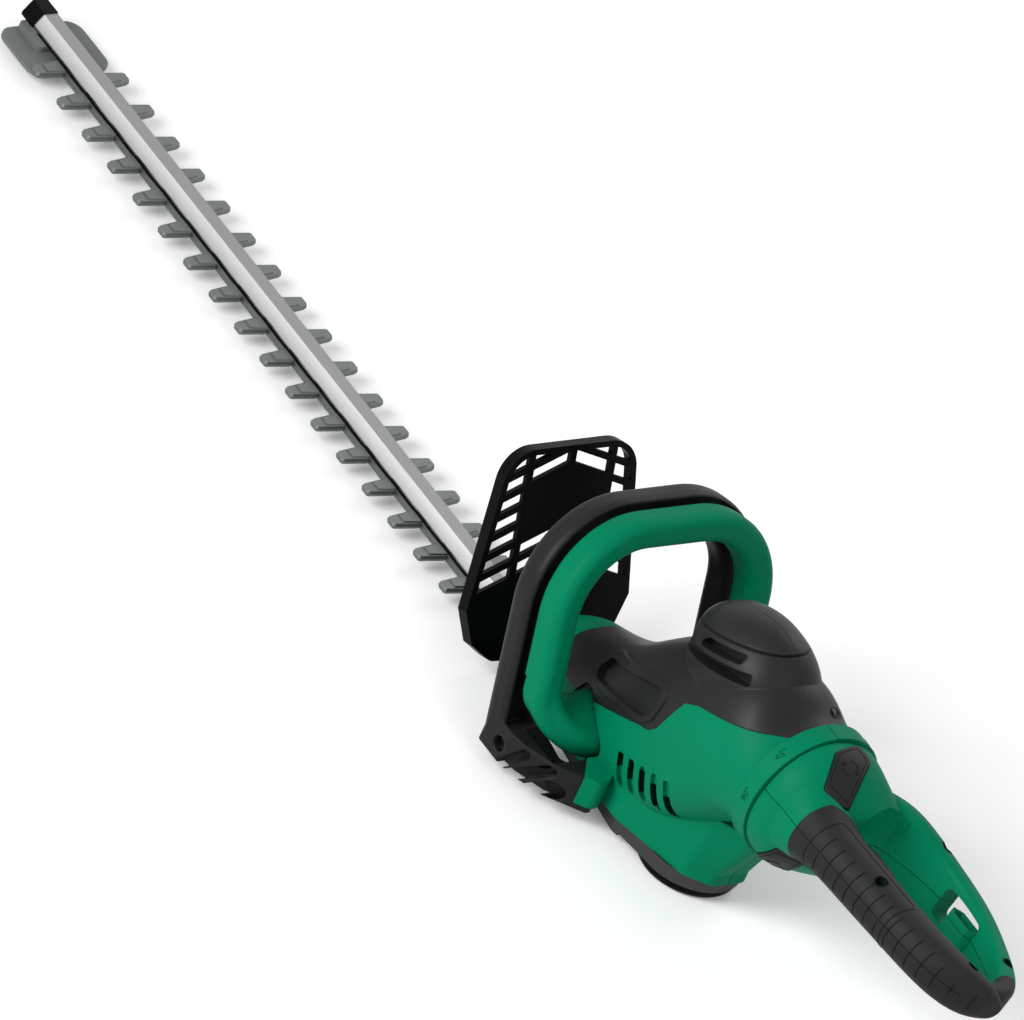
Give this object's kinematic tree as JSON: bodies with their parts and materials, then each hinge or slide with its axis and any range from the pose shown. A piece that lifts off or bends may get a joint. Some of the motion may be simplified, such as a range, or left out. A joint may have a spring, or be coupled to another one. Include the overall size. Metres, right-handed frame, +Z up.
{
  "type": "hedge trimmer",
  "caption": "Electric hedge trimmer with a long double-sided toothed blade, a slatted hand guard, a front bail with switch bow and a swivelling rear D-handle.",
  "frame": {"origin": "on the bottom face under the round bottom cover, on the middle plane", "axes": "+X along the blade to its tip, +Y to the tool's left, +Z up"},
  "size_m": [1.1, 0.188, 0.191],
  "materials": {
    "green_shell": "satin moulded green",
    "black_cover": "fine grained black",
    "dark_frame": "fine grained dark grey",
    "soft_grip": "soft ribbed",
    "blade_steel": "ground",
    "rail_metal": "drawn",
    "tip_plastic": "plain grey",
    "gear_metal": "cast",
    "dark_screw": "blackened",
    "shaft_steel": "turned",
    "core_iron": "stacked sheet",
    "winding_copper": "enamelled",
    "carbon": "pressed",
    "inner_plastic": "moulded"
  },
  "bodies": {
    "housing": {"bail_handle": "dark_frame", "bail_screws": "dark_screw", "blade_bolts": "dark_screw", "blade_bushes": "shaft_steel", "blade_rail": "rail_metal", "blade_washers": "dark_screw", "bottom_cover": "black_cover", "brush_holders": "inner_plastic", "carbon_brushes": "carbon", "cover_screws": "dark_screw", "field_windings": "winding_copper", "gear_case": "gear_metal", "guard_screws": "dark_screw", "hand_guard": "black_cover", "housing_left": "green_shell", "housing_right": "green_shell", "housing_screws": "dark_screw", "lower_bearing": "shaft_steel", "motor_cover_left": "black_cover", "motor_cover_right": "black_cover", "rail_end_cap": "black_cover", "stator_core": "core_iron", "tip_bolt": "dark_screw", "tip_guard": "tip_plastic", "tip_spacer": "tip_plastic", "upper_bearing": "shaft_steel"},
    "upper_blade": {"upper_blade": "blade_steel"},
    "lower_blade": {"lower_blade": "blade_steel"},
    "armature": {"armature_core": "core_iron", "armature_windings": "winding_copper", "commutator": "winding_copper", "motor_shaft": "shaft_steel", "cooling_fan": "inner_plastic"},
    "crank": {"crank_gear": "shaft_steel", "eccentric_shaft": "shaft_steel"},
    "switch_bow": {"switch_bow": "green_shell"},
    "rear_handle": {"rear_handle_upper": "green_shell", "rear_handle_lower": "green_shell", "grip_skin_upper": "soft_grip", "grip_skin_lower": "soft_grip", "handle_screws": "dark_screw", "rear_switch": "inner_plastic", "trigger_pin": "shaft_steel", "lead_inlet": "green_shell"},
    "trigger": {"trigger": "dark_frame"},
    "release_upper": {"release_button_upper": "dark_frame"},
    "release_lower": {"release_button_lower": "dark_frame"}
  },
  "joints": [
    {"name": "armature_spin", "type": "hinge", "parent": "housing", "child": "armature", "pos_m": [-0.014, 0, 0.1], "axis": [0, 0, 1], "continuous": true},
    {"name": "crank_spin", "type": "hinge", "parent": "housing", "child": "crank", "pos_m": [0.0196, 0, 0.025], "axis": [0, 0, 1], "continuous": true},
    {"name": "upper_blade_slide", "type": "slide", "parent": "housing", "child": "upper_blade", "axis": [1, 0, 0], "range_m": [-0.006, 0.006]},
    {"name": "lower_blade_slide", "type": "slide", "parent": "housing", "child": "lower_blade", "axis": [1, 0, 0], "range_m": [-0.006, 0.006]},
    {"name": "bow_press", "type": "hinge", "parent": "housing", "child": "switch_bow", "pos_m": [0.078, 0, 0.046], "axis": [0, 1, 0], "range_deg": [0, 2.5], "stiffness_Nm_per_rad": 14, "springref_deg": -1.72},
    {"name": "handle_swivel", "type": "hinge", "parent": "housing", "child": "rear_handle", "pos_m": [-0.085, 0, 0.12], "axis": [1, 0, 0], "range_deg": [-18, 162]},
    {"name": "trigger_pull", "type": "hinge", "parent": "rear_handle", "child": "trigger", "pos_m": [-0.135, 0.00666, 0.12216], "axis": [0, 0.309, -0.9511], "range_deg": [0, 8], "stiffness_Nm_per_rad": 1.2, "springref_deg": -3.44},
    {"name": "release_upper_press", "type": "slide", "parent": "rear_handle", "child": "release_upper", "axis": [0, -0.0698, -0.9976], "range_m": [0, 0.003], "stiffness_N_per_m": 400, "springref_m": -0.002},
    {"name": "release_lower_press", "type": "slide", "parent": "rear_handle", "child": "release_lower", "axis": [0, -0.6428, 0.766], "range_m": [0, 0.003], "stiffness_N_per_m": 400, "springref_m": -0.002}
  ],
  "couplings": [
    {"joint": "crank_spin", "follows": "armature_spin", "ratio": -0.27273},
    {"joint": "lower_blade_slide", "follows": "upper_blade_slide", "ratio": -1}
  ]
}
